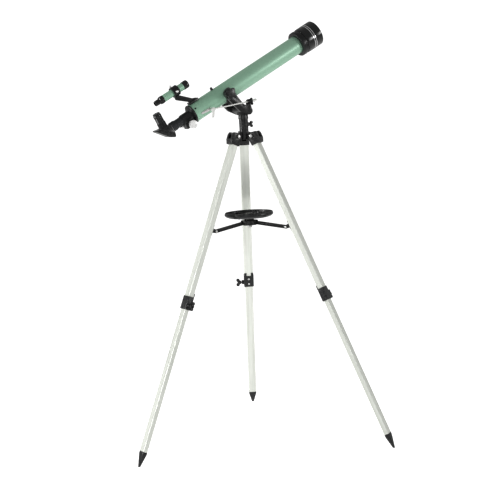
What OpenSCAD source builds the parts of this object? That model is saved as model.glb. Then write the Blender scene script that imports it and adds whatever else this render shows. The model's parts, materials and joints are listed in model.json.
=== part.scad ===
// Refractor telescope of 60 mm aperture on an aluminium field tripod.
// Frame: origin on the floor under the tripod's axis, +Z up, +Y where the tube points.

/* [Tripod] */
// Angle of each leg from the vertical, degrees
splay = 23.36; // [22.5:0.02:23.6]
// Hinge to foot, along the leg
leg_len = 1160; // [1150:1:1170]
// Distance of the leg hinges from the tripod's axis
hinge_r = 35; // [34:0.5:36]
// Turn of the tripod under the telescope, degrees
tripod_turn = 4.9; // [-10:0.1:10]
// Width of the upper leg section
leg_w = 32; // [31.5:0.5:33]
// Depth of the upper leg section
leg_t = 19; // [18.8:0.1:19.4]
// Width of the lower leg section
shin_w = 28; // [27.5:0.5:28.5]
// Depth of the lower leg section
shin_t = 16.2; // [15.8:0.1:16.3]
// Radius of the accessory tray
tray_r = 84.8; // [82:0.2:86]

/* [Mount] */
// Height of the tube's axis above the tripod's axis
tube_z = 1250.5; // [1248:0.5:1253]
// Height angle of the tube, degrees
tube_alt = 27; // [26:0.5:28]
// Altitude pivot, along the tube from the tripod's axis
pivot_s = -82; // [-83:0.5:-81]
// Inner face of the yoke's arms
arm_in = 36; // [36:0.2:37]
// Thickness of the yoke's arms
arm_t = 10; // [9:0.5:10]
// Sideways place of the slow-motion rod
rod_x = 50; // [50:0.5:51]

/* [Tube] */
// Outer radius of the main tube
tube_r = 31.5; // [31:0.1:31.6]
// Rear end of the main tube
tube_back = -217; // [-217:1:-215]
// Outer radius of the dew hood
hood_r = 45.15; // [45:0.05:46]
// Front of the dew hood
hood_front = 342; // [338:1:346]
// Outer radius of the focuser's drawtube
draw_r = 15; // [14.9:0.05:15]
// Height of the finder's axis above the tube's axis
finder_n = 96; // [94:0.5:98]
// Outer radius of the finder tube
finder_r = 12.5; // [12.3:0.1:12.7]

/* [Hidden] */
$fn = 48;

// Clearances: running fit, and free gap between moving pieces
fit = 0.05;
gap = 0.3;
eps = 0.01;

// Tripod, worked out from the driving sizes
hinge_z = leg_len * cos(splay);
leg_angles = [30, 150, 270];
lug_t = 14;
cap_w = 36;
bolt_r = 3;
leg_top = -16;
clamp_top = -569;
clamp_end = -615;
leg_end = -585;
shin_top = -500;
tip_top = -leg_len + 52;
screw_z = -600;

// Head, column and yoke hub
column_r = 15.5;
column_low = 1054;
collar_z = 1123;
head_top = 1136.5;
hub_top = 1170.6;
shaft_r = 9;
lock_z = 1104;

// Brace: hub pivots, and the leg pins in each leg's own frame
brace_r = 22;
brace_z = 766;
pin_r = 2.5;
pin_x = -27.6;
pin_z = -331.2;
brace_end_r = hinge_r + pin_x * cos(splay) - pin_z * sin(splay);
brace_end_z = hinge_z + pin_x * sin(splay) + pin_z * cos(splay);
brace_len = norm([brace_end_r - brace_r, brace_z - brace_end_z]);
brace_drop = atan2(brace_z - brace_end_z, brace_end_r - brace_r);
brace_slot = 7.5;
brace_t = 10;
tray_low = 784.5;

// Altitude pivot and slow-motion rod, in the yoke's side plane
pivot_y = pivot_s * cos(tube_alt);
pivot_z = tube_z + pivot_s * sin(tube_alt);
rod_s = -164;
rod_n = -13.5;
rod_y = rod_s * cos(tube_alt) - rod_n * sin(tube_alt);
rod_z = tube_z + rod_s * sin(tube_alt) + rod_n * cos(tube_alt);
clamp_y = -1;
clamp_z = 1182;
rod_angle = atan2(clamp_z - rod_z, clamp_y - rod_y);
rod_span = norm([clamp_y - rod_y, clamp_z - rod_z]);
rod_r = 2.5;
eye_t = 3;
rod_len = rod_span + 16;
arm_out = arm_in + arm_t;

// Focuser, diagonal and eyepiece
rack_pitch = PI;
pinion_s = -247;
pinion_n = -23;
draw_back = -288;
draw_front = -120;
socket_r = 12.3;
barrel_r = socket_r - fit;
eyepiece_s = -331;
saddle_s = pivot_s;
saddle_w = 11;
saddle_top = 8;
hood_step = 300;
finder_screw_s = -236;

// Screws through the tube's wall: three hold the focuser, and a stud stands on top
cell_screw_angles = [30, 150, 270];
cell_screw_s = -209;
cell_screw_r = 1.6;
stud_s = -112;
stud_r = 2;
lens_r = 29.8;
lens_curve = 150;

// Axis frames
module on_leg(i)
    rotate([0, 0, tripod_turn + leg_angles[i]])
        translate([hinge_r, 0, hinge_z]) rotate([0, -splay, 0]) children();
module on_brace(i) rotate([0, 0, tripod_turn + leg_angles[i]]) children();
module on_tube() translate([0, 0, tube_z]) rotate([tube_alt, 0, 0]) children();
module on_rod() translate([rod_x, rod_y, rod_z]) rotate([rod_angle, 0, 0]) children();
module at_clamp() translate([0, clamp_y, clamp_z]) rotate([rod_angle, 0, 0]) children();
// Turn a solid of revolution about Z so that it lies along the tube
module along() rotate([-90, 0, 0]) children();
// Solid of revolution about the tube's axis from points of radius and place
module turned(points) along() rotate_extrude($fn = 96) polygon(points);
// Side outline in Y and Z, extruded from x0 to x1
module side(x0, x1) translate([x0, 0, 0]) rotate([90, 0, 90]) linear_extrude(x1 - x0) children();
// Cylinder along X from x0 to x1
module x_rod(x0, x1, r) translate([x0, 0, 0]) rotate([0, 90, 0]) cylinder(r = r, h = x1 - x0);
// Cylinder along Y from y0 to y1
module y_rod(y0, y1, r) translate([0, y0, 0]) rotate([-90, 0, 0]) cylinder(r = r, h = y1 - y0);
// Box between two corners
module block(a, b) translate(a) cube(b - a);

// Outline of a bar with round ends, tangent to both
module link(a, ra, b, rb) {
    d = norm(b - a);
    turn = atan2(b[1] - a[1], b[0] - a[0]);
    lean = acos((ra - rb) / d);
    translate(a) circle(ra);
    translate(b) circle(rb);
    polygon([for (q = [[a, ra, 1], [b, rb, 1], [b, rb, -1], [a, ra, -1]])
        q[0] + q[1] * [cos(turn + q[2] * lean), sin(turn + q[2] * lean)]]);
}

// Rectangle with round corners
module soft_rect(w, h, r) {
    square([w - 2 * r, h], center = true);
    square([w, h - 2 * r], center = true);
    for (i = [-1, 1], j = [-1, 1]) translate([i * (w / 2 - r), j * (h / 2 - r)]) circle(r, $fn = 24);
}

// Wing screw along +Z: its tip at 0, its hub from low to low + hub_h
module wing_screw(shank_r, low, hub_r, hub_h, span, reach, t) {
    cylinder(r = shank_r, h = low + eps);
    translate([0, 0, low]) cylinder(r = hub_r, h = hub_h);
    for (m = [0, 1]) mirror([m, 0, 0])
        translate([0, t / 2, 0]) rotate([90, 0, 0]) linear_extrude(t)
            link([hub_r * 0.4, low + hub_h * 0.6], hub_h * 0.35, [span / 2 - reach, low + hub_h], reach);
}

// ---- Tripod ----

module tripod_head() color([0.07, 0.07, 0.08]) difference() {
    union() {
        translate([0, 0, column_low]) cylinder(r = column_r, h = collar_z - column_low);
        translate([0, 0, collar_z]) cylinder(r1 = 17.5, r2 = 16.5, h = head_top - collar_z);
        translate([0, 0, lock_z]) y_rod(0, 19, 7);
        for (i = [0:2]) on_brace(i)
            translate([0, lug_t / 2, 0]) rotate([90, 0, 0]) linear_extrude(lug_t)
                link([10, hinge_z + 3], 12, [hinge_r, hinge_z], 9.5);
    }
    translate([0, 0, 1078]) cylinder(r = shaft_r + fit, h = 100);
    translate([0, 0, lock_z]) y_rod(0, 30, bolt_r + fit);
    for (a = [15:30:345]) rotate([0, 0, a]) translate([column_r + 0.5, 0, 1090])
        cylinder(r = 1.6, h = 30, $fn = 16);
    for (i = [0:2]) on_brace(i) translate([hinge_r, 0, hinge_z]) y_rod(-20, 20, bolt_r);
}

module leg_cap(i) color([0.07, 0.07, 0.08]) on_leg(i) difference() {
    translate([0, cap_w / 2, 0]) rotate([90, 0, 0]) linear_extrude(cap_w)
        polygon([[-13, -31], [-15, -5], [-9, 6], [4, 12], [20, 9], [23, 0], [23, -18], [17, -32]]);
    block([-30, -lug_t / 2 - gap, -14], [40, lug_t / 2 + gap, 30]);
    block([-leg_t / 2, -leg_w / 2, -50], [leg_t / 2, leg_w / 2, leg_top]);
    y_rod(-cap_w, cap_w, bolt_r + fit);
}

module leg_tube(w, t, wall, low, high) translate([0, 0, low]) linear_extrude(high - low) difference() {
    soft_rect(t, w, 2.5);
    soft_rect(t - 2 * wall, w - 2 * wall, 1.5);
    for (m = [-1, 1], k = [-1, 1])
        translate([m * t / 2, k * w * 0.27]) square([0.7, 1.2], center = true);
}

module upper_leg(i) color([0.78, 0.8, 0.76]) on_leg(i) leg_tube(leg_w, leg_t, 1, leg_end, leg_top);

module lower_leg(i) color([0.8, 0.82, 0.78]) on_leg(i)
    leg_tube(shin_w, shin_t, 1, tip_top, shin_top);

module leg_clamp(i) color([0.06, 0.06, 0.07]) on_leg(i) difference() {
    union() {
        translate([0, 0, clamp_end]) linear_extrude(clamp_top - clamp_end)
            soft_rect(leg_t + 4, leg_w + 4, 3);
        translate([0, 0, screw_z]) y_rod(0, leg_w / 2 + 10, 8);
        for (k = [-1, 1]) translate([-leg_t / 2 - 1, k * 12, clamp_top + 6])
            cube([2, 8, 14], center = true);
    }
    block([-leg_t / 2, -leg_w / 2, leg_end], [leg_t / 2, leg_w / 2, -500]);
    block([-shin_t / 2 - gap, -shin_w / 2 - gap, -700], [shin_t / 2 + gap, shin_w / 2 + gap, -500]);
    translate([0, 0, screw_z]) y_rod(0, 60, bolt_r + fit);
}

module clamp_screw(i) color([0.06, 0.06, 0.07]) on_leg(i)
    translate([0, shin_w / 2 + gap + 0.1, screw_z]) rotate([-90, 0, 0]) rotate([0, 0, 90])
        wing_screw(bolt_r, 14, 6.5, 12, 31, 6, 5);

module foot_tip(i) color([0.06, 0.06, 0.07]) difference() {
    on_leg(i) {
        hull() {
            translate([0, 0, tip_top - 8]) linear_extrude(8) soft_rect(shin_t + 1, shin_w + 1, 4);
            translate([0, 0, -leg_len - 3]) cylinder(r = 3.2, h = 2, $fn = 24);
        }
        translate([0, 0, tip_top - 1]) linear_extrude(13) soft_rect(shin_t - 2.2, shin_w - 2.2, 1.4);
    }
    block([-900, -900, -60], [900, 900, 0]);
}

module leg_bolts() color([0.85, 0.85, 0.85]) for (i = [0:2]) on_leg(i) {
    y_rod(-cap_w / 2 - gap, cap_w / 2 + gap, bolt_r);
    for (m = [0, 1]) mirror([0, m, 0]) translate([0, cap_w / 2 + gap, 0]) rotate([-90, 0, 0])
        cylinder(r = 6, h = 4, $fn = 6);
}

module brace_bracket(i) color([0.06, 0.06, 0.07]) on_leg(i) {
    difference() {
        union() {
            block([-leg_t / 2 - 3.5, -10, pin_z - 19], [-leg_t / 2, 10, pin_z + 19]);
            for (m = [0, 1]) mirror([0, m, 0])
                translate([0, brace_t / 2 + 4, 0]) rotate([90, 0, 0]) linear_extrude(3.5)
                    link([-leg_t / 2 - 7, pin_z], 7, [pin_x, pin_z], 6);
        }
        block([-leg_t / 2, -30, pin_z - 30], [10, 30, pin_z + 30]);
        translate([pin_x, 0, pin_z]) y_rod(-20, 20, pin_r);
    }
    translate([pin_x, 0, pin_z]) y_rod(-brace_t / 2 - 4.5, brace_t / 2 + 4.5, pin_r);
}

module brace_hub() color([0.06, 0.06, 0.07]) {
    difference() {
        union() {
            translate([0, 0, brace_z - 8]) cylinder(r = 30, h = 15);
            translate([0, 0, brace_z]) cylinder(r = 16, h = tray_low - brace_z);
        }
        translate([0, 0, 700]) cylinder(r = 4 + fit, h = 100);
        for (i = [0:2]) on_brace(i) {
            block([13, -brace_t / 2 - gap, brace_z - 20], [40, brace_t / 2 + gap, tray_low]);
            translate([brace_r, 0, brace_z]) y_rod(-14, 14, pin_r);
        }
    }
    for (i = [0:2]) on_brace(i) translate([brace_r, 0, brace_z]) y_rod(-11, 11, pin_r);
}

module brace_arm(i) color([0.06, 0.06, 0.07]) on_brace(i)
    translate([brace_r, 0, brace_z]) rotate([0, brace_drop, 0])
        translate([0, brace_t / 2, 0]) rotate([90, 0, 0]) linear_extrude(brace_t) difference() {
            union() {
                circle(6);
                translate([0, -6]) square([brace_len, 12]);
                translate([brace_len, 0]) circle(6);
            }
            circle(pin_r + fit);
            translate([brace_len + 0.3, 0]) circle(pin_r + 0.7);
            translate([brace_len - brace_slot, 0]) circle(pin_r + 0.7);
            translate([brace_len - brace_slot, -pin_r - 0.7]) square([brace_slot + 0.3, 2 * pin_r + 1.4]);
        }

module tray() color([0.07, 0.07, 0.08]) difference() {
    union() {
        rotate_extrude($fn = 96) polygon([[0, tray_low], [70, tray_low], [79, 788],
            [tray_r - 1, 792], [tray_r, 795], [tray_r - 0.6, 799], [tray_r - 2.5, 802.5],
            [tray_r - 4.5, 802.5], [tray_r - 4, 798], [78, 791], [69, 787.5], [0, 787.5]]);
        translate([0, 0, tray_low]) cylinder(r = 13, h = 14);
        for (a = [0:120:240]) rotate([0, 0, a + tripod_turn]) {
            translate([46, 0, tray_low]) cylinder(r = 20, h = 11);
            block([12, -1.5, tray_low], [28, 1.5, 796]);
        }
        for (a = [60:120:300]) rotate([0, 0, a + tripod_turn])
            block([12, -1.5, tray_low], [77, 1.5, 796]);
    }
    for (a = [0:120:240]) rotate([0, 0, a + tripod_turn]) translate([46, 0, 788])
        cylinder(r = 17.5, h = 20);
    translate([0, 0, 700]) cylinder(r = 4 + fit, h = 97);
}

module tray_screw() color([0.75, 0.75, 0.76]) {
    translate([0, 0, 757 - gap]) cylinder(r = 4, h = 37);
    difference() {
        translate([0, 0, 749]) cylinder(r = 9, h = 8);
        for (a = [0:30:330]) rotate([0, 0, a]) translate([9.6, 0, 740])
            cylinder(r = 1.4, h = 30, $fn = 16);
    }
}

module azimuth_lock() color([0.07, 0.07, 0.08])
    translate([0, shaft_r + gap, lock_z]) rotate([-90, 0, 0]) rotate([0, 0, 90])
        wing_screw(bolt_r, 12, 6, 9, 22, 5, 5);

// ---- Mount ----

module arm_outline() {
    link([0, 1151], 13.5, [-28, 1163], 13.5);
    link([-28, 1163], 13.5, [pivot_y, pivot_z], 17);
}

module yoke() color([0.07, 0.07, 0.08]) difference() {
    union() {
        translate([0, 0, head_top + gap]) cylinder(r = 21, h = hub_top - head_top - gap);
        translate([0, 10, head_top + gap + 4]) cylinder(r = 18, h = 22);
        translate([0, 0, 1084]) cylinder(r = shaft_r, h = 60);
        side(-arm_out, arm_out) link([0, 1151], 13.5, [-14, 1157], 12);
        for (m = [0, 1]) mirror([m, 0, 0]) side(arm_in, arm_out) arm_outline();
        side(arm_in + 2, arm_out) link([2, 1155], 9, [clamp_y, clamp_z], 6.5);
    }
    translate([0, pivot_y, pivot_z]) x_rod(-60, 60, 4 + fit);
    translate([0, clamp_y, clamp_z]) x_rod(arm_in - 5, arm_out + 5, bolt_r + fit);
}

module altitude_knob(m) color([0.07, 0.07, 0.08])
    mirror([m, 0, 0]) translate([0, pivot_y, pivot_z]) rotate([30 + m * 12, 0, 0]) {
        x_rod(tube_r + 1, arm_out + 2, 4);
        x_rod(arm_out + gap, arm_out + 4, 13);
        x_rod(arm_out + 4 - eps, arm_out + 15, 16);
        for (a = [0:72:288]) rotate([a, 0, 0]) translate([0, 0, 15]) x_rod(arm_out + 4, arm_out + 14, 6.4);
    }

module tube_saddle() color([0.07, 0.07, 0.08]) on_tube() difference() {
    union() {
        difference() {
            turned([[tube_r, saddle_s - saddle_w], [tube_r + 1.6, saddle_s - saddle_w],
                [tube_r + 2.6, saddle_s - saddle_w + 1], [tube_r + 2.6, saddle_s + saddle_w - 1],
                [tube_r + 1.6, saddle_s + saddle_w], [tube_r, saddle_s + saddle_w]]);
            block([-50, saddle_s - 20, saddle_top], [50, saddle_s + 20, 50]);
        }
        translate([0, saddle_s, 0]) x_rod(-arm_in + gap, arm_in - gap, 13);
    }
    y_rod(-200, 200, tube_r);
    translate([0, saddle_s, 0]) x_rod(-60, 60, 4 + fit);
}

module rod_bracket() color([0.8, 0.8, 0.78]) on_tube() difference() {
    union() {
        intersection() {
            y_rod(-199, rod_s + 8, tube_r + 1.8);
            block([20, -199, -17], [40, rod_s + 8, 3]);
        }
        translate([0, rod_s, rod_n]) x_rod(24, rod_x - eye_t - gap, 5.5);
    }
    y_rod(-300, 300, tube_r);
    translate([0, rod_s, rod_n]) x_rod(20, 60, bolt_r + fit);
}

module rod_pivot_screw() color([0.82, 0.82, 0.82]) on_tube() translate([0, rod_s, rod_n]) {
    lever_x = rod_x + eye_t + gap;
    x_rod(30.5, lever_x + 2, bolt_r);
    rotate([-tube_alt, 0, 0]) side(lever_x, lever_x + 4) {
        circle(6);
        polygon([[-5, -1], [5, -1], [0, -28], [-7, -28]]);
    }
}

module slow_motion_rod() color([0.88, 0.88, 0.86]) on_rod() {
    difference() {
        union() {
            x_rod(-eye_t, eye_t, 6);
            turned([[0, 4], [rod_r, 4], [rod_r, rod_len], [4, rod_len], [4, rod_len + 3],
                [5, rod_len + 3.5], [5, rod_len + 12], [4, rod_len + 13], [0, rod_len + 13]]);
        }
        x_rod(-10, 10, bolt_r + fit);
    }
}

module rod_clamp() color([0.07, 0.07, 0.08]) at_clamp() difference() {
    union() {
        x_rod(arm_in + 3, arm_out + 1, bolt_r);
        block([arm_out + gap, -5, -8], [rod_x + 7, 5, 8]);
        x_rod(rod_x + 6, rod_x + 9, 5.5);
    }
    translate([rod_x, 0, 0]) y_rod(-20, 20, rod_r + 1.1);
    x_rod(rod_x, rod_x + 20, 2 + fit);
}

module rod_clamp_screw() color([0.07, 0.07, 0.08]) at_clamp()
    translate([rod_x + rod_r + 0.4, 0, 0]) rotate([0, 90, 0])
        wing_screw(2, 8, 5, 8, 25, 5, 4.5);

// ---- Optical tube ----

// Radial screws that hold the rear cell in the tube
module at_screw(a, s) translate([0, s, 0]) rotate([0, a - 90, 0]) children();

module main_tube() color([0.5, 0.68, 0.56]) on_tube() difference() {
    turned([[tube_r - 1.5, tube_back], [tube_r, tube_back], [tube_r, 262], [tube_r - 1.5, 262]]);
    for (a = cell_screw_angles) at_screw(a, cell_screw_s) cylinder(r = cell_screw_r + fit, h = 60);
    translate([0, stud_s, 0]) cylinder(r = stud_r + fit, h = 60);
    for (m = [0, 1]) mirror([m, 0, 0]) translate([0, saddle_s, 0]) x_rod(5, 60, 4 + fit);
    translate([0, rod_s, rod_n]) x_rod(5, 60, bolt_r + fit);
}

module objective_cell() color([0.06, 0.06, 0.07]) on_tube()
    turned([[tube_r, 255], [42.8, 255], [44.3, 257], [44.6, 269], [43, 271], [42.6, 277], [38, 277],
        [38, 300], [30, 300], [30, 284], [27.5, 284], [27.5, 262], [tube_r, 262]]);

// Points of a lens face: its middle at place, curved towards way, from radius r0 to r1
function lens_face(place, way, r0, r1) = [for (k = [0:6]) let (r = r0 + (r1 - r0) * k / 6)
    [r, place - way * (lens_curve - sqrt(lens_curve * lens_curve - r * r))]];

module objective_lenses() color([0.75, 0.85, 0.9, 0.6]) on_tube() {
    turned(concat(lens_face(289.9, -1, 0, lens_r), lens_face(296.9, 1, lens_r, 0)));
    turned(concat([[0, 284], [lens_r, 284]], lens_face(289.7, -1, lens_r, 0)));
}

module lens_ring() color([0.06, 0.06, 0.07]) on_tube()
    turned([[27, 294.7], [30, 294.7], [30, 300], [28, 300]]);

module dew_hood() color([0.06, 0.06, 0.07]) on_tube()
    turned([[38, 277], [43.6, 277], [44.4, 281], [hood_r, 283], [hood_r, 304], [hood_r - 0.6, 304],
        [hood_r - 0.6, 306], [hood_r, 306], [hood_r, 311], [hood_r - 0.6, 311],
        [hood_r - 0.6, 313], [hood_r, 313], [hood_r, hood_front - 1], [hood_r - 1, hood_front],
        [hood_r - 2.4, hood_front], [hood_r - 3, hood_front - 1], [hood_r - 3, hood_step],
        [38, hood_step]]);

module hood_rings() color([0.85, 0.85, 0.86]) on_tube() for (s = [304, 311])
    turned([[hood_r - 0.6, s], [hood_r + 0.3, s], [hood_r + 0.3, s + 2], [hood_r - 0.6, s + 2]]);

module focuser_body() color([0.06, 0.06, 0.07]) on_tube() difference() {
    union() {
        turned([[0, -262], [17, -262], [18, -260], [18, -226], [29, -224], [32.6, -222],
            [32.6, tube_back], [tube_r - 1.5, tube_back], [tube_r - 1.5, -203], [0, -203]]);
        block([-13, -261, -33], [13, -233, -8]);
    }
    y_rod(-216, -190, 27);
    y_rod(-280, -190, draw_r + fit);
    block([-3.6, -280, -19], [3.6, -190, 0]);
    translate([0, pinion_s, pinion_n]) x_rod(-5, 5, 7.7);
    translate([0, pinion_s, pinion_n]) x_rod(-40, 40, bolt_r + fit);
    for (a = cell_screw_angles) at_screw(a, cell_screw_s) cylinder(r = cell_screw_r + fit, h = 60);
}

// Rack tooth, standing down from the drawtube
module rack_tooth(s) translate([-3, s, -16]) rotate([90, 0, 90]) linear_extrude(6)
    polygon([[-0.95, 0.5], [-0.85, 0], [-0.25, -1.9], [0.25, -1.9], [0.85, 0], [0.95, 0.5]]);

module drawtube() color([0.8, 0.8, 0.8]) on_tube() {
    difference() {
        union() {
            turned([[0, draw_back], [draw_r, draw_back], [draw_r, draw_front], [0, draw_front]]);
            turned([[0, -308], [16, -308], [17, -307], [17, -290], [16, draw_back], [0, draw_back]]);
            block([-3, -280, -16], [3, -190, -12]);
            for (k = [-10:17]) rack_tooth(pinion_s + (k + 0.5) * rack_pitch);
        }
        y_rod(-400, 0, socket_r);
        y_rod(-285, 0, draw_r - 1.4);
    }
}

module pinion_shaft() color([0.75, 0.75, 0.76]) on_tube() translate([0, pinion_s, pinion_n]) {
    x_rod(-38, 38, bolt_r);
    side(-3.5, 3.5) {
        circle(4.6);
        for (k = [0:11]) rotate(k * 30)
            polygon([[-1, 4], [-0.85, 4.9], [-0.3, 6.9], [0.3, 6.9], [0.85, 4.9], [1, 4]]);
    }
}

module focus_knobs() color([0.9, 0.9, 0.9]) on_tube() translate([0, pinion_s, pinion_n])
    for (m = [0, 1]) mirror([m, 0, 0]) difference() {
        union() {
            x_rod(16, 32, 6);
            x_rod(32 - eps, 43, 13.5);
        }
        x_rod(0, 41, bolt_r);
        for (a = [0:15:345]) rotate([a, 0, 0]) translate([0, 0, 14.1]) x_rod(31, 42, 1.1, $fn = 16);
    }

module diagonal_body() color([0.06, 0.06, 0.07]) on_tube() difference() {
    union() {
        turned([[0, -330], [14, -330], [14, -308.3], [barrel_r, -308.3], [barrel_r, -290], [0, -290]]);
        side(-17, 17) polygon([[-308.3, -15], [-311, -27], [-316, -31], [-333, -21], [-366, 18],
            [-364, 21], [-350, 18], [-314, 16], [-308.3, 13]]);
        translate([0, eyepiece_s, 15]) cylinder(r = 15, h = 18);
    }
    y_rod(-319, -280, 10);
    translate([0, eyepiece_s, 12.5]) cylinder(r = 10, h = 40);
    translate([0, eyepiece_s, 16]) cylinder(r = socket_r, h = 40);
    side(-13, 13) polygon([[-318, -13], [-318, 13], [-344, 13]]);
}

module diagonal_prism() color([0.8, 0.88, 0.92]) on_tube()
    side(-12.9, 12.9) polygon([[-318.1, -12.7], [-318.1, 12.9], [-343.7, 12.9]]);

module eyepiece() color([0.06, 0.06, 0.07]) on_tube() translate([0, eyepiece_s, 0])
    rotate_extrude($fn = 64) polygon(concat(
        [[8, 17.5], [barrel_r, 17.5], [barrel_r, 33.3], [14.2, 33.3]],
        [for (k = [0:6]) let (z = 35 + 3 * k)
            each [[14.2, z], [13.4, z + 1], [13.4, z + 2], [14.2, z + 3]]],
        [[14.2, 60], [12.5, 63], [12.5, 68], [6, 68], [5, 66], [5, 62], [8, 62]]));

module eyepiece_lenses() color([0.75, 0.85, 0.9]) on_tube() translate([0, eyepiece_s, 0]) {
    translate([0, 0, 56]) intersection() {
        cylinder(r = 8, h = 5.9);
        translate([0, 0, -14]) sphere(19.9);
    }
    translate([0, 0, 30]) intersection() {
        cylinder(r = 8, h = 5);
        translate([0, 0, -25]) sphere(29.9);
    }
}

module tube_screws() color([0.15, 0.15, 0.16]) on_tube() {
    for (a = cell_screw_angles) at_screw(a, cell_screw_s) {
        translate([0, 0, 27.5]) cylinder(r = cell_screw_r, h = tube_r - 27);
        translate([0, 0, tube_r + fit]) cylinder(r1 = 3.2, r2 = 2.4, h = 2.2);
    }
    translate([0, stud_s, 0]) {
        translate([0, 0, 28]) cylinder(r = stud_r, h = 8);
        translate([0, 0, tube_r + 0.1]) cylinder(r = 5, h = 4);
        translate([0, 0, tube_r + 4]) cylinder(r = 4, h = 5);
    }
}

// ---- Finder ----

module on_finder() on_tube() translate([0, 0, finder_n]) children();

module finder_bracket() color([0.06, 0.06, 0.07]) difference() {
    union() {
        on_finder() turned([[14.5, -246], [17.4, -246], [18, -245], [18, -223], [17.4, -222], [14.5, -222]]);
        on_tube() difference() {
            union() {
                side(-5, 5) link([-236, 73], 9, [-197, 41], 7);
                block([-9, -212, 24], [9, -174, 38]);
                side(-5, 5) link([-205, 45], 4, [-180, 38], 3);
            }
            y_rod(-300, 300, tube_r);
        }
    }
    on_finder() y_rod(-300, -200, 14.5);
    on_finder() for (a = [90, 210, 330]) translate([0, finder_screw_s, 0]) rotate([0, a, 0])
        cylinder(r = 1.5, h = 40, $fn = 24);
}

module finder_tube() color([0.5, 0.68, 0.56]) on_finder()
    turned([[finder_r - 1, -283], [finder_r, -283], [finder_r, -201], [finder_r - 1, -201]]);

module finder_front() color([0.06, 0.06, 0.07]) on_finder()
    turned([[9.5, -207], [finder_r - 1, -207], [finder_r - 1, -201], [13.4, -201], [13.6, -200],
        [13.6, -183], [12.8, -181], [11.5, -181], [11.5, -199], [9.5, -199]]);

module finder_lens() color([0.75, 0.85, 0.9]) on_finder() along()
    translate([0, 0, -199]) intersection() {
        cylinder(r = 11.4, h = 4.5);
        translate([0, 0, -35.6]) sphere(40);
    }

module finder_eyepiece() color([0.06, 0.06, 0.07]) on_finder()
    turned([[6, -274], [finder_r - 1.05, -274], [finder_r - 1.05, -283.3], [12.9, -283.3],
        [12.9, -297], [9.6, -299], [9.2, -316], [8.2, -318], [6, -318]]);

module finder_screws() color([0.9, 0.9, 0.9]) on_finder()
    for (a = [90, 210, 330]) translate([0, finder_screw_s, 0]) rotate([0, a, 0]) {
        translate([0, 0, finder_r + 0.02]) cylinder(r = 1.5, h = 9, $fn = 24);
        translate([0, 0, 20]) cylinder(r = 3.6, h = 6);
    }

// ---- Nodes ----

tripod_head();
leg_cap(0);  // leg_cap_a
leg_cap(1);  // leg_cap_b
leg_cap(2);  // leg_cap_c
upper_leg(0);  // upper_leg_a
upper_leg(1);  // upper_leg_b
upper_leg(2);  // upper_leg_c
lower_leg(0);  // lower_leg_a
lower_leg(1);  // lower_leg_b
lower_leg(2);  // lower_leg_c
leg_clamp(0);  // leg_clamp_a
leg_clamp(1);  // leg_clamp_b
leg_clamp(2);  // leg_clamp_c
clamp_screw(0);  // clamp_screw_a
clamp_screw(1);  // clamp_screw_b
clamp_screw(2);  // clamp_screw_c
foot_tip(0);  // foot_tip_a
foot_tip(1);  // foot_tip_b
foot_tip(2);  // foot_tip_c
leg_bolts();
brace_bracket(0);  // brace_bracket_a
brace_bracket(1);  // brace_bracket_b
brace_bracket(2);  // brace_bracket_c
brace_hub();
brace_arm(0);  // brace_arm_a
brace_arm(1);  // brace_arm_b
brace_arm(2);  // brace_arm_c
tray();
tray_screw();
azimuth_lock();
yoke();
altitude_knob(0);  // altitude_knob_right
altitude_knob(1);  // altitude_knob_left
tube_saddle();
rod_bracket();
rod_pivot_screw();
slow_motion_rod();
rod_clamp();
rod_clamp_screw();
main_tube();
objective_cell();
objective_lenses();
lens_ring();
dew_hood();
hood_rings();
focuser_body();
drawtube();
pinion_shaft();
focus_knobs();
diagonal_body();
diagonal_prism();
eyepiece();
eyepiece_lenses();
tube_screws();
finder_bracket();
finder_tube();
finder_front();
finder_lens();
finder_eyepiece();
finder_screws();
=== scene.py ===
"""Refractor telescope on a folding aluminium tripod.

Finished pieces, materials, light and camera around the telescope's frame, in metres.
"""
import json
import math

import bmesh
import bpy
from mathutils import Matrix, Vector


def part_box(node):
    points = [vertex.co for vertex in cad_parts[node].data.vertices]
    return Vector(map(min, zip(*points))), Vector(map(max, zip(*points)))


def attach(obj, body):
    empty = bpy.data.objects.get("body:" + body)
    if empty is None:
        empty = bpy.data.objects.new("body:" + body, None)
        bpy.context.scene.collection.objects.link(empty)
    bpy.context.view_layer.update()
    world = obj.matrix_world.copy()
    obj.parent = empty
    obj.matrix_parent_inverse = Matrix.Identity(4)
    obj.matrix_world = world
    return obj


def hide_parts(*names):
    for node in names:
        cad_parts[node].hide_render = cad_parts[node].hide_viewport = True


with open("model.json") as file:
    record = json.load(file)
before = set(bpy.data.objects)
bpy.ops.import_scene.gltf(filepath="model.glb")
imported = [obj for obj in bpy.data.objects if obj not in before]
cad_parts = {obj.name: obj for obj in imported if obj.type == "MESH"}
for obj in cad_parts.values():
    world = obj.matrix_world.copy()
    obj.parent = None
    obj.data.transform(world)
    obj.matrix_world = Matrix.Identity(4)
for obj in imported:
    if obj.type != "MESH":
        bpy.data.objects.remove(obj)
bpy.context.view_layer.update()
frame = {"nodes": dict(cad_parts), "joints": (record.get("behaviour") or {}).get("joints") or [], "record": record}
NODES = frame["nodes"]
BODY_OF = {n: b for b, ns in frame["record"]["behaviour"]["bodies"].items() for n in ns}
SLOT_OF = {s["node"]: s["material_slot"] for s in frame["record"]["subparts"]}
JOINTS = {j["name"]: j for j in frame["joints"]}
LEGS = ("a", "b", "c")
UP = Vector((0, 0, 1))
SIDE = Vector((1, 0, 0))


# ---- Places, taken from the frame ----

TUBE_AXIS = Vector(JOINTS["focus"]["axis"]).normalized()
TUBE_UP = SIDE.cross(TUBE_AXIS)
PIVOT = Vector(JOINTS["altitude"]["pos_m"])
PINION = Vector(JOINTS["pinion_spin"]["pos_m"])
TUBE_R = (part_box("main_tube")[1].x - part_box("main_tube")[0].x) / 2
HOOD_R = (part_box("dew_hood")[1].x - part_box("dew_hood")[0].x) / 2


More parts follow.
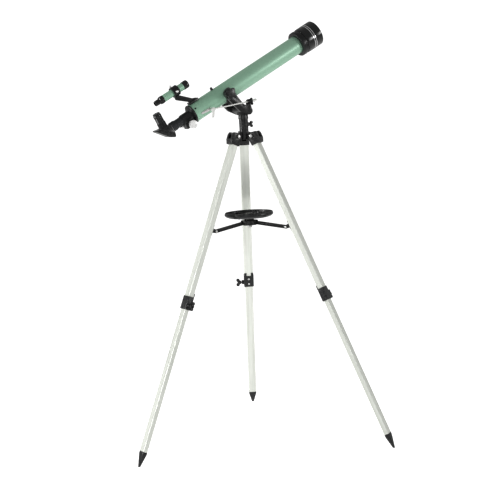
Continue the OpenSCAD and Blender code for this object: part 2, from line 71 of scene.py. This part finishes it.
def along_tube(node):
    """How far a node reaches along the tube, from the altitude pivot: rear and front."""
    places = [(v.co - PIVOT).dot(TUBE_AXIS) for v in NODES[node].data.vertices]
    return min(places), max(places)


def axes(origin, x, y, z):
    """The matrix that takes a piece from its own axes to the given ones."""
    m = Matrix((x, y, z)).transposed().to_4x4()
    m.translation = origin
    return m


def tube_axes(place=0.0, rise=0.0):
    """Axes with Z along the tube, X to its right side and Y downwards."""
    origin = PIVOT + TUBE_AXIS * place + TUBE_UP * rise
    return axes(origin, SIDE, TUBE_AXIS.cross(SIDE), TUBE_AXIS)


def leg_axes(leg):
    """Axes with Z up one leg from its hinge, Y along its hinge and X out of its outer face."""
    hinge = Vector(JOINTS["leg_fold_" + leg]["pos_m"])
    z = Vector(JOINTS["leg_slide_" + leg]["axis"]).normalized()
    y = Vector(JOINTS["leg_fold_" + leg]["axis"]).normalized()
    return axes(hinge, y.cross(z), y, z)


# ---- Shader maths ----

class Value:
    """A socket of a material. Arithmetic on it adds Math nodes."""

    def __init__(self, finish, socket):
        self.finish = finish
        self.socket = socket

    def math(self, operation, other, clamp=False):
        settings = {"operation": operation, "use_clamp": clamp}
        return self.finish.node("Math", settings, {0: self, 1: other})

    def __add__(self, other):
        return self.math("ADD", other)

    def __mul__(self, other):
        return self.math("MULTIPLY", other)

    def __sub__(self, other):
        return self.math("SUBTRACT", other)

    def clip(self):
        """The value held between 0 and 1."""
        return self.math("ADD", 0.0, clamp=True)

    def between(self, low, high):
        """0 below low and 1 above high, with a smooth step from one to the other."""
        settings = {"interpolation_type": "SMOOTHSTEP"}
        return self.finish.node("MapRange", settings, {0: self, 1: low, 2: high})


class Finish:
    """A material with one Principled shader, built from named nodes."""

    def __init__(self, name, **fixed):
        self.material = bpy.data.materials.new(name)
        self.material.use_nodes = True
        self.tree = self.material.node_tree
        self.shader = self.tree.nodes["Principled BSDF"]
        for socket, value in fixed.items():
            self.shader.inputs[socket.replace("_", " ")].default_value = value
        self.place = self.node("TexCoord", {}, {}, output="Object")

    def node(self, kind, settings, sockets, output=0):
        """Adds one node: its settings first, then the value or the link of each socket."""
        made = self.tree.nodes.new("ShaderNode" + kind)
        for name, value in settings.items():
            setattr(made, name, value)
        for name, value in sockets.items():
            if isinstance(value, Value):
                self.tree.links.new(value.socket, made.inputs[name])
            else:
                made.inputs[name].default_value = value
        return Value(self, made.outputs[output])

    def stretched(self, turn, scale):
        """Object coordinates turned so that a piece's length lies along Z, then scaled."""
        euler = turn.to_3x3().to_euler()
        size = tuple(1 / s for s in scale)
        sockets = {"Vector": self.place, "Rotation": euler, "Scale": size}
        return self.node("Mapping", {"vector_type": "TEXTURE"}, sockets)

    def noise(self, scale, detail=3.0, rough=0.5, place=None):
        place = place or self.place
        sockets = {"Vector": place, "Scale": scale, "Detail": detail, "Roughness": rough}
        return self.node("TexNoise", {}, sockets)

    def cells(self, scale):
        return self.node("TexVoronoi", {}, {"Vector": self.place, "Scale": scale})

    def worn_edge(self, radius):
        """1 on sharp outside corners and 0 on open faces."""
        pointed = self.node("NewGeometry", {}, {}, output="Pointiness")
        return pointed.between(0.5 + radius, 0.5 + 3 * radius)

    def mix(self, factor, a, b):
        """The colour a where factor is 0 and b where it is 1."""
        return self.node("Mix", {"data_type": "RGBA"}, {0: factor, 6: a, 7: b}, output=2)

    def feed(self, **sockets):
        """Links values to the shader's sockets, which are named with underscores."""
        for name, value in sockets.items():
            self.tree.links.new(value.socket, self.shader.inputs[name.replace("_", " ")])

    def bump(self, height, strength, distance):
        sockets = {"Height": height, "Strength": strength, "Distance": distance}
        self.feed(Normal=self.node("Bump", {}, sockets))


# ---- Materials ----

def rgb(r, g, b):
    return (r, g, b, 1.0)


def grey(shade):
    return rgb(shade, shade, shade)


def dimmed(colour, share):
    """A darker shade of a colour."""
    return rgb(*(share * c for c in colour[:3]))


def moulding(name, base, pale, rough, grain, coat=0.0):
    """Moulded plastic: fine spark-eroded grain, handling marks and slightly rubbed corners."""
    f = Finish(name, Coat_Weight=coat, Coat_Roughness=0.16, Specular_IOR_Level=0.42)
    marks = f.noise(160.0, 4.0, 0.6)
    patches = f.noise(24.0, 3.0, 0.55)
    rubbed = (f.worn_edge(0.02) * marks.between(0.35, 0.7)).clip()
    tone = f.mix(patches.between(0.3, 0.75), base, dimmed(base, 0.8))
    f.feed(Base_Color=f.mix(rubbed * 0.4, tone, pale))
    f.feed(Roughness=(marks - 0.5) * 0.1 + patches * 0.05 + rough - rubbed * 0.06)
    pits = f.cells(grain)
    f.bump(pits * 0.6 + f.noise(grain * 1.7, 2.0) * 0.4, 0.16, 0.00008)
    return f.material


def extrusion(name, turn, base, shade):
    """Satin anodised aluminium: draw lines along the length, faint streaks and small scuffs."""
    f = Finish(name, Metallic=0.35, Anisotropic=0.35, Specular_IOR_Level=0.5)
    lines = f.noise(900.0, 3.0, 0.6, f.stretched(turn, (1.0, 1.0, 0.012)))
    streaks = f.noise(70.0, 4.0, 0.55, f.stretched(turn, (1.0, 1.0, 0.05)))
    scuffs = f.noise(150.0, 5.0, 0.7).between(0.62, 0.74)
    tone = f.mix(streaks.between(0.35, 0.7), base, shade)
    f.feed(Base_Color=f.mix(scuffs * 0.25, tone, rgb(0.42, 0.43, 0.4)))
    f.feed(Roughness=lines * 0.16 + scuffs * 0.12 + 0.24)
    f.bump(lines + scuffs * 0.3, 0.16, 0.00008)
    return f.material


def enamel(name):
    """Pale sea-green metallic enamel: fine flake, soft orange peel and a clear coat."""
    f = Finish(name, Metallic=0.5, Coat_Weight=0.3, Coat_Roughness=0.2, Specular_IOR_Level=0.5)
    flake = f.cells(2600.0)
    cloud = f.noise(7.0, 3.0, 0.5)
    tone = f.mix(cloud.between(0.3, 0.7), rgb(0.26, 0.47, 0.345), rgb(0.29, 0.5, 0.375))
    f.feed(Base_Color=f.mix(flake.between(0.2, 0.8) * 0.2, tone, rgb(0.66, 0.8, 0.62)))
    f.feed(Roughness=flake * 0.08 + f.noise(45.0, 4.0) * 0.06 + 0.4)
    f.bump(f.noise(420.0, 2.0) + flake * 0.2, 0.04, 0.00006)
    return f.material


def plate(name, base, rough, metal=1.0):
    """Bright plated or turned metal: ring marks from the lathe, haze and finger marks."""
    f = Finish(name, Metallic=metal)
    haze = f.noise(26.0, 5.0, 0.6)
    turning = f.noise(700.0, 2.0, 0.5, f.stretched(tube_axes(), (0.04, 0.04, 1.0)))
    f.feed(Base_Color=f.mix(haze.between(0.45, 0.75) * 0.3, base, dimmed(base, 0.7)))
    f.feed(Roughness=haze * 0.14 + turning * 0.08 + rough)
    f.bump(turning, 0.08, 0.00005)
    return f.material


def glass(name):
    """Coated lens glass: a blue bloom that shades into green, with faint dust."""
    f = Finish(name, Transmission_Weight=0.85, IOR=1.52, Coat_Weight=0.6, Coat_Roughness=0.02)
    dust = f.noise(240.0, 5.0, 0.75).between(0.66, 0.72)
    bloom = f.noise(11.0, 1.0).between(0.35, 0.65)
    tint = f.mix(bloom, rgb(0.6, 0.72, 0.82), rgb(0.68, 0.8, 0.74))
    f.feed(Base_Color=f.mix(dust * 0.4, tint, rgb(0.85, 0.85, 0.84)))
    f.feed(Roughness=dust * 0.3 + 0.02)
    return f.material


MATERIALS = {
    "black_plastic": moulding("black_moulding", rgb(0.007, 0.0075, 0.008), grey(0.1),
                              rough=0.33, grain=1500.0, coat=0.15),
    "grey_plastic": moulding("grey_moulding", rgb(0.62, 0.62, 0.6), grey(0.8),
                             rough=0.42, grain=1500.0),
    "white_plastic": moulding("silver_white_moulding", rgb(0.8, 0.8, 0.79), grey(0.95),
                              rough=0.22, grain=1900.0, coat=0.5),
    "tube_paint": enamel("sea_green_enamel"),
    "bright_steel": plate("bright_zinc", rgb(0.72, 0.72, 0.71), rough=0.26),
    "chrome_trim": plate("chrome_plate", rgb(0.88, 0.88, 0.89), rough=0.07),
    "dark_metal": plate("blackened_steel", rgb(0.06, 0.06, 0.065), rough=0.32),
    "lens_glass": glass("coated_glass"),
}
GLOSS_BLACK = moulding("gloss_black_moulding", rgb(0.005, 0.0055, 0.006), grey(0.08),
                       rough=0.2, grain=2400.0, coat=0.4)
DARK_TUBE = plate("black_anodised", rgb(0.05, 0.052, 0.055), rough=0.3, metal=0.7)
WHITE_ROD = plate("satin_nickel", rgb(0.86, 0.86, 0.84), rough=0.3, metal=0.75)
LEG_METAL = {
    leg: extrusion("leg_extrusion_" + leg, leg_axes(leg),
                   base=rgb(0.74, 0.76, 0.71), shade=rgb(0.64, 0.66, 0.61))
    for leg in LEGS
}
OWN_MATERIAL = {"drawtube": DARK_TUBE, "slow_motion_rod": WHITE_ROD}
for glossy in ("dew_hood", "eyepiece", "finder_front", "finder_eyepiece", "diagonal_body"):
    OWN_MATERIAL[glossy] = GLOSS_BLACK


def material_for(node):
    """A leg's own metal, the node's own finish, or else the finish of its slot."""
    if SLOT_OF[node] == "leg_aluminium":
        return LEG_METAL[node[-1]]
    return OWN_MATERIAL.get(node, MATERIALS[SLOT_OF[node]])


# ---- Making pieces ----

def piece(name, mesh, body, material, replaces=()):
    """A finished piece at the origin that rides on a body, with its own material."""
    made = bpy.data.objects.new(name, mesh)
    bpy.context.scene.collection.objects.link(made)
    mesh.materials.clear()
    mesh.materials.append(material)
    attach(made, body)
    if replaces:
        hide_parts(*replaces)
    return made


def settle(mesh, matrix=None, smooth=35.0):
    """Puts a new mesh in its place, with merged points, outward faces and crisp edges."""
    b = bmesh.new()
    b.from_mesh(mesh)
    if matrix is not None:
        b.transform(matrix)
    bmesh.ops.remove_doubles(b, verts=b.verts, dist=1e-6)
    bmesh.ops.recalc_face_normals(b, faces=b.faces)
    for face in b.faces:
        face.smooth = True
    for edge in b.edges:
        edge.smooth = len(edge.link_faces) == 2 and edge.calc_face_angle(0) < math.radians(smooth)
    b.to_mesh(mesh)
    b.free()
    return mesh


def baked(obj):
    """The plain mesh that an object's modifiers give, with the object removed."""
    bpy.context.view_layer.update()
    graph = bpy.context.evaluated_depsgraph_get()
    mesh = bpy.data.meshes.new_from_object(obj.evaluated_get(graph))
    bpy.data.objects.remove(obj)
    return mesh


def turned_mesh(name, outline, segments=128):
    """A closed solid of revolution about Z from points of radius and height, in metres."""
    b = bmesh.new()
    rings = []
    for k in range(segments):
        a = 2 * math.pi * k / segments
        rings.append([b.verts.new((r * math.cos(a), r * math.sin(a), z)) for r, z in outline])
    for k in range(segments):
        here, there = rings[k], rings[(k + 1) % segments]
        for i in range(len(outline)):
            j = (i + 1) % len(outline)
            b.faces.new((here[i], there[i], there[j], here[j]))
    bmesh.ops.remove_doubles(b, verts=b.verts, dist=1e-7)
    bmesh.ops.dissolve_degenerate(b, edges=b.edges, dist=1e-7)
    mesh = bpy.data.meshes.new(name)
    b.to_mesh(mesh)
    b.free()
    return mesh


def rounded(outline, reach, steps=3):
    """An outline with each corner turned by a small arc that starts reach from it."""
    points = [Vector(p) for p in outline]
    most = 0.45  # the largest share of a side that one corner may take
    out = []
    for k, here in enumerate(points):
        before = points[k - 1] - here
        after = points[(k + 1) % len(points)] - here
        cut = min(reach, before.length * most, after.length * most)
        start = here + before.normalized() * cut
        end = here + after.normalized() * cut
        for i in range(steps + 1):
            t = i / steps
            out.append(tuple(start * (1 - t) ** 2 + here * 2 * t * (1 - t) + end * t ** 2))
    return out


def softened(node, width):
    """A copy of a CAD node with its sharp edges rounded as a moulding's or casting's are."""
    mesh = NODES[node].data.copy()
    b = bmesh.new()
    b.from_mesh(mesh)
    bmesh.ops.remove_doubles(b, verts=b.verts, dist=2e-6)
    bmesh.ops.dissolve_degenerate(b, edges=b.edges, dist=1e-6)
    bmesh.ops.dissolve_limit(b, angle_limit=math.radians(0.6), verts=b.verts, edges=b.edges)
    b.to_mesh(mesh)
    b.free()
    obj = bpy.data.objects.new("work", mesh)
    bpy.context.scene.collection.objects.link(obj)
    bevel = obj.modifiers.new("round", "BEVEL")
    bevel.width = width
    bevel.segments = 2
    bevel.limit_method = "ANGLE"
    bevel.angle_limit = math.radians(28.0)
    return baked(obj)


def in_place_of(node, ending, mesh):
    """The finished piece that stands for one CAD node, on the node's body and with its material."""
    return piece(node + ending, mesh, BODY_OF[node], material_for(node), (node,))


# ---- Geometry Nodes for what repeats ----

class Tree:
    """A Geometry Nodes tree with named inputs, built node by node."""

    def __init__(self, name, inputs):
        self.tree = bpy.data.node_groups.new(name, "GeometryNodeTree")
        face = self.tree.interface
        face.new_socket("Geometry", in_out="OUTPUT", socket_type="NodeSocketGeometry")
        self.identifiers = {}
        for label, kind in inputs.items():
            made = face.new_socket(label, in_out="INPUT", socket_type="NodeSocket" + kind)
            self.identifiers[label] = made.identifier
        self.given = self.tree.nodes.new("NodeGroupInput")

    def node(self, kind, settings=None, **sockets):
        made = self.tree.nodes.new(kind)
        for name, value in (settings or {}).items():
            setattr(made, name, value)
        for name, value in sockets.items():
            socket = made.inputs[name.replace("_", " ")]
            if isinstance(value, bpy.types.NodeSocket):
                self.tree.links.new(value, socket)
            else:
                socket.default_value = value
        return made.outputs[0]

    def end(self, geometry):
        """Realizes the instances and sets the material, as the tree's result."""
        real = self.node("GeometryNodeRealizeInstances", Geometry=geometry)
        material = self.given.outputs["Material"]
        done = self.node("GeometryNodeSetMaterial", Geometry=real, Material=material)
        out = self.tree.nodes.new("NodeGroupOutput")
        self.tree.links.new(done, out.inputs[0])

    def mesh(self, **values):
        """The plain mesh that the tree makes with these inputs."""
        obj = bpy.data.objects.new("work", bpy.data.meshes.new("work"))
        bpy.context.scene.collection.objects.link(obj)
        modifier = obj.modifiers.new("made", "NODES")
        modifier.node_group = self.tree
        for label, value in values.items():
            modifier[self.identifiers[label]] = value
        return baked(obj)


def grip_tree():
    """Bars laid around a ring, for knurled and ribbed grips."""
    t = Tree("grip_bars", {"Count": "Int", "Radius": "Float", "Length": "Float", "Width": "Float",
                           "Depth": "Float", "Material": "Material"})
    given = t.given.outputs
    size = t.node("ShaderNodeCombineXYZ", X=given["Depth"], Y=given["Width"], Z=given["Length"])
    bar = t.node("GeometryNodeMeshCube", Size=size)
    ring = t.node("GeometryNodeMeshCircle", Vertices=given["Count"], Radius=given["Radius"])
    outward = t.node("GeometryNodeInputPosition")
    facing = {"axis": "X", "pivot_axis": "Z"}
    turn = t.node("FunctionNodeAlignRotationToVector", facing, Vector=outward)
    laid = t.node("GeometryNodeInstanceOnPoints", Points=ring, Instance=bar, Rotation=turn)
    t.end(laid)
    return t


def stud_tree():
    """Round-headed rivets or pins in a row along X, standing up along Z."""
    t = Tree("stud_row", {"Count": "Int", "Step": "Vector", "Radius": "Float", "Height": "Float",
                          "Material": "Material"})
    given = t.given.outputs
    row = t.node("GeometryNodeMeshLine", Count=given["Count"], Offset=given["Step"])
    head = t.node("GeometryNodeMeshUVSphere", Segments=24, Rings=12, Radius=1.0)
    size = t.node("ShaderNodeCombineXYZ", X=given["Radius"], Y=given["Radius"], Z=given["Height"])
    laid = t.node("GeometryNodeInstanceOnPoints", Points=row, Instance=head, Scale=size)
    t.end(laid)
    return t


GRIPS = grip_tree()
STUDS = stud_tree()


def laid_out(tree, name, body, matrix, material, slot, **values):
    """A piece that a tree makes with these values, put in place by the matrix."""
    mesh = settle(tree.mesh(Material=material, **values), matrix)
    return piece(name, mesh, body, material)


# ---- The optical tube ----

def turned_piece(node, outline, reach=0.0004, rise=0.0):
    """A CAD node made again as a turned part about the tube's axis, or a line above it."""
    mesh = turned_mesh(node, rounded(outline, reach))
    in_place_of(node, "_shell", settle(mesh, tube_axes(rise=rise), smooth=40.0))


def sleeve(radius, wall, rear, front):
    """The outline of an open tube."""
    return [(radius - wall, rear), (radius, rear), (radius, front), (radius - wall, front)]


def make_tube():
    wall = 0.0015
    turned_piece("main_tube", sleeve(TUBE_R, wall, *along_tube("main_tube")))


def make_hood():
    """The dew hood with a stepped foot, two trim grooves and a rounded mouth."""
    rear, front = along_tube("dew_hood")
    rings = along_tube("hood_rings")
    neck_r, neck_length = 0.038, 0.023
    groove_depth, groove_width = 0.0006, 0.002
    wall, lip, lip_width = 0.003, 0.001, 0.0006
    inner = HOOD_R - wall
    # The foot's steps: how far each lies under the hood's outside, and ahead of its rear end.
    foot = ((0.0015, 0.0), (0.0007, 0.004), (0.0, 0.006))
    outline = [(neck_r, rear)]
    outline += [(HOOD_R - under, rear + ahead) for under, ahead in foot]
    for start in (rings[0], rings[1] - groove_width):
        floor_r, end = HOOD_R - groove_depth, start + groove_width
        outline += [(HOOD_R, start), (floor_r, start), (floor_r, end), (HOOD_R, end)]
    outline += [(HOOD_R, front - lip), (HOOD_R - lip, front), (inner + lip_width, front),
                (inner, front - lip), (inner, rear + neck_length), (neck_r, rear + neck_length)]
    turned_piece("dew_hood", outline, 0.0002)


def make_finder():
    """The finder's tube, and the fine ribs of its eyepiece and of its front cell."""
    low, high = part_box("finder_tube")
    vertices = NODES["finder_tube"].data.vertices
    middle = sum((v.co for v in vertices), Vector()) / len(vertices)
    rise = (middle - PIVOT).dot(TUBE_UP)
    radius, wall = (high.x - low.x) / 2, 0.001
    outline = sleeve(radius, wall, *along_tube("finder_tube"))
    turned_piece("finder_tube", outline, 0.0003, rise)
    eyepiece_ribs = along_tube("finder_eyepiece")[0] + 0.028
    laid_out(GRIPS, "finder_grip_ribs", "finder_eyepiece", tube_axes(eyepiece_ribs, rise),
             GLOSS_BLACK, "black_plastic",
             Count=28, Radius=0.0128, Length=0.010, Width=0.0009, Depth=0.0008)
    cell_ribs = along_tube("finder_front")[1] - 0.010
    laid_out(GRIPS, "finder_front_ribs", "telescope_tube", tube_axes(cell_ribs, rise),
             GLOSS_BLACK, "black_plastic",
             Count=32, Radius=0.01345, Length=0.012, Width=0.0008, Depth=0.0007)


def make_focuser():
    """Ribs around both focus knobs."""
    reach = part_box("focus_knobs")[1].x
    ribs, rib_middle = 24, 0.0055
    half_step = Matrix.Rotation(math.pi / ribs, 4, "Z")
    for side, name in ((-1, "left"), (1, "right")):
        centre = PINION + SIDE * side * (reach - rib_middle)
        laid_out(GRIPS, "focus_knob_grip_" + name, "focus_pinion",
                 axes(centre, TUBE_AXIS, TUBE_UP, SIDE) @ half_step,
                 MATERIALS["white_plastic"], "white_plastic",
                 Count=ribs, Radius=0.0134, Length=0.0085, Width=0.0012, Depth=0.0008)


def link_outline(start, start_r, end, end_r, steps=12):
    """Points around a flat bar with round ends, each with the centre of the end it belongs to."""
    way = end - start
    lean = math.acos((start_r - end_r) / way.length)
    turn = math.atan2(way.y, way.x)
    points = []
    for middle, r, first, sweep in ((end, end_r, turn - lean, 2 * lean),
                                    (start, start_r, turn + lean, 2 * math.pi - 2 * lean)):
        for k in range(steps + 1):
            a = first + sweep * k / steps
            points.append((middle + Vector((math.cos(a), math.sin(a))) * r, middle))
    return points


def bent_strip(points, gap, thick, rings=4):
    """A strip with this outline, laid on the tube's right side and bent round it.

    Both faces are rings of points that close in on the middles, where settle() merges them.
    """
    b = bmesh.new()
    layers = []
    for r in (TUBE_R + gap, TUBE_R + gap + thick):
        layer = []
        for k in range(rings + 1):
            flat = [middle + (point - middle) * (1 - k / rings) for point, middle in points]
            layer.append([b.verts.new(PIVOT + TUBE_AXIS * q.x + TUBE_UP * q.y
                                      + SIDE * math.sqrt(r * r - q.y * q.y)) for q in flat])
        layers.append(layer)
    under, over = layers
    for i in range(len(points)):
        j = (i + 1) % len(points)
        for layer in layers:
            for k in range(rings):
                b.faces.new((layer[k][i], layer[k][j], layer[k + 1][j], layer[k + 1][i]))
        b.faces.new((under[0][i], under[0][j], over[0][j], over[0][i]))
    mesh = bpy.data.meshes.new("strip")
    b.to_mesh(mesh)
    b.free()
    return settle(mesh)


def make_rod_bracket():
    """The strip that carries the rod's pivot: bent round the tube, with a boss under the eye."""
    screw = Vector(JOINTS["rod_pivot_turn"]["pos_m"]) - PIVOT
    pivot = Vector((screw.dot(TUBE_AXIS), screw.dot(TUBE_UP)))
    tail = pivot + Vector((-0.032, 0.0035))
    eye_r, tail_r = 0.0058, 0.0036
    points = link_outline(pivot, eye_r, tail, tail_r)
    in_place_of("rod_bracket", "_strip", bent_strip(points, gap=0.0001, thick=0.0014))
    bore, boss_r = 0.00305, 0.0052
    seat = math.sqrt(TUBE_R ** 2 - pivot.y ** 2)
    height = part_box("rod_bracket")[1].x - seat
    outline = rounded([(bore, 0), (boss_r, 0), (boss_r, height), (bore, height)], 0.0004)
    centre = PIVOT + TUBE_AXIS * pivot.x + TUBE_UP * pivot.y + SIDE * seat
    mesh = settle(turned_mesh("boss", outline, 48), axes(centre, TUBE_AXIS, TUBE_UP, SIDE))
    piece("rod_bracket_boss", mesh, "telescope_tube", MATERIALS["bright_steel"])


# ---- The tripod ----

def leg_reach(node, leg):
    """A leg node's lowest and highest corners in its leg's own axes."""
    inward = leg_axes(leg).inverted()
    places = [inward @ v.co for v in NODES[node + "_" + leg].data.vertices]
    return [Vector([pick(p[k] for p in places) for k in range(3)]) for pick in (min, max)]


def make_rivets():
    """Two bright rivets on each clamp's inner face, and a head at each end of each brace pin."""
    bright = MATERIALS["bright_steel"]
    rivet_place, rivet_step = 0.012, 0.021
    pin_inset, pin_reach = 0.006, 0.0094
    facing_in = Matrix.Rotation(-math.pi / 2, 4, "Y")
    for leg in LEGS:
        body = "leg_" + leg
        own = leg_axes(leg)
        low = leg_reach("leg_clamp", leg)[0]
        seat = Matrix.Translation((low.x + 0.0001, 0, low.z + rivet_place)) @ facing_in
        laid_out(STUDS, "clamp_rivets_" + leg, body, own @ seat, bright, "bright_steel",
                 Count=2, Step=(rivet_step, 0, 0), Radius=0.0037, Height=0.0011)
        low, high = leg_reach("brace_bracket", leg)
        for name, side in (("left", -1), ("right", 1)):
            seat = Matrix.Translation((low.x + pin_inset, side * pin_reach, (low.z + high.z) / 2))
            outward = Matrix.Rotation(-side * math.pi / 2, 4, "X")
            laid_out(STUDS, f"brace_pin_head_{leg}_{name}", body, own @ seat @ outward,
                     bright, "bright_steel",
                     Count=1, Step=(0, 0, 0), Radius=0.0042, Height=0.0012)


# How wide the rounding of each softened node's edges is, in metres.
SOFT = {
    "tripod_head": 0.0006, "yoke": 0.0014, "tray": 0.0006, "brace_hub": 0.0008,
    "altitude_knob_right": 0.0012, "altitude_knob_left": 0.0012, "azimuth_lock": 0.0008,
    "rod_clamp": 0.0006, "rod_clamp_screw": 0.0006, "tube_saddle": 0.0005,
    "rod_pivot_screw": 0.0009, "focuser_body": 0.0007, "focus_knobs": 0.0005,
    "diagonal_body": 0.0008, "eyepiece": 0.0002, "finder_bracket": 0.0008,
    "objective_cell": 0.0004, "tray_screw": 0.0004, "finder_front": 0.0003,
    "finder_eyepiece": 0.0003, "finder_screws": 0.0003, "leg_bolts": 0.0005,
}
for stem, width in (("leg_cap", 0.0012), ("leg_clamp", 0.0009), ("clamp_screw", 0.0008),
                    ("foot_tip", 0.0009), ("brace_bracket", 0.0006), ("brace_arm", 0.0009)):
    SOFT.update({f"{stem}_{leg}": width for leg in LEGS})


# ---- Light, floor and camera ----

def make_stage():
    """A plain floor, lit evenly so that it runs into the background."""
    mesh = bpy.data.meshes.new("floor")
    reach = 9.0
    corners = [(-reach, -reach, 0), (reach, -reach, 0), (reach, reach, 0), (-reach, reach, 0)]
    mesh.from_pydata(corners, [], [(0, 1, 2, 3)])
    floor = bpy.data.objects.new("floor", mesh)
    bpy.context.scene.collection.objects.link(floor)
    f = Finish("studio_floor", Roughness=0.9, Specular_IOR_Level=0.1, Emission_Strength=0.7,
               Emission_Color=grey(1))
    f.feed(Base_Color=f.mix(f.noise(1.5), grey(0.8), grey(0.82)))
    mesh.materials.append(f.material)
    floor.visible_glossy = False


def area_light(name, place, aim, size, power):
    """A soft white lamp at a place, turned toward its aim."""
    data = bpy.data.lights.new(name, "AREA")
    data.shape = "RECTANGLE"
    data.size, data.size_y = size
    data.energy = power
    lamp = bpy.data.objects.new(name, data)
    bpy.context.scene.collection.objects.link(lamp)
    lamp.location = place
    lamp.rotation_euler = (Vector(aim) - Vector(place)).to_track_quat("-Z", "Y").to_euler()


def make_world():
    """A white backdrop for the camera, and for all else a surround that is dimmer above."""
    world = bpy.data.worlds.new("studio")
    bpy.context.scene.world = world
    world.use_nodes = True
    tree = world.node_tree
    link = tree.links.new
    place = tree.nodes.new("ShaderNodeTexCoord")
    toward = tree.nodes.new("ShaderNodeSeparateXYZ")
    fade = tree.nodes.new("ShaderNodeMapRange")
    surround = tree.nodes["Background"]
    backdrop = tree.nodes.new("ShaderNodeBackground")
    seen = tree.nodes.new("ShaderNodeLightPath")
    both = tree.nodes.new("ShaderNodeMixShader")
    fade_range = {"From Min": -0.6, "From Max": -0.2, "To Min": 0.85, "To Max": 0.36}
    for name, value in fade_range.items():
        fade.inputs[name].default_value = value
    surround.inputs["Color"].default_value = rgb(1, 1, 0.99)
    backdrop.inputs["Color"].default_value = grey(1)
    link(place.outputs["Generated"], toward.inputs[0])
    link(toward.outputs["Z"], fade.inputs["Value"])
    link(fade.outputs["Result"], surround.inputs["Strength"])
    link(seen.outputs["Is Camera Ray"], both.inputs[0])
    link(surround.outputs[0], both.inputs[1])
    link(backdrop.outputs[0], both.inputs[2])
    link(both.outputs[0], tree.nodes["World Output"].inputs["Surface"])


def make_light():
    """Three soft lamps, and a look with deep blacks and a clean white."""
    area_light("key_from_left", (-0.9, -3.8, 1.5), (0, 0, 0.8), size=(1.4, 1.8), power=84)
    area_light("fill_from_right", (3.0, 2.6, 1.75), (0, 0, 1.2), size=(0.9, 1.0), power=24)
    area_light("soft_front", (3.4, -2.6, 1.9), (0, 0, 0.9), size=(1.2, 1.2), power=14)
    bpy.context.scene.view_settings.view_transform = "Standard"
    bpy.context.scene.view_settings.look = "Medium High Contrast"


def make_camera():
    """A camera a little above the tray, turned slightly about its own axis."""
    place = Vector((3.648, -1.963, 1.222))
    aim = Vector((-0.002, -0.003, 0.669))
    roll = math.radians(3.367)
    forward = (aim - place).normalized()
    level = forward.cross(UP).normalized()
    above = level.cross(forward)
    right = level * math.cos(roll) - above * math.sin(roll)
    data = bpy.data.cameras.new("camera")
    data.sensor_width = 36.0
    data.lens = 86.5
    camera = bpy.data.objects.new("camera", data)
    bpy.context.scene.collection.objects.link(camera)
    camera.matrix_world = axes(place, right, right.cross(forward), -forward)
    bpy.context.scene.camera = camera


make_camera()
for node, obj in NODES.items():
    for slot in obj.material_slots:
        slot.material = material_for(node)
make_tube()
make_hood()
make_finder()
make_focuser()
make_rod_bracket()
make_rivets()
for node, width in SOFT.items():
    in_place_of(node, "_body", settle(softened(node, width), smooth=32.0))
make_stage()
make_world()
make_light()
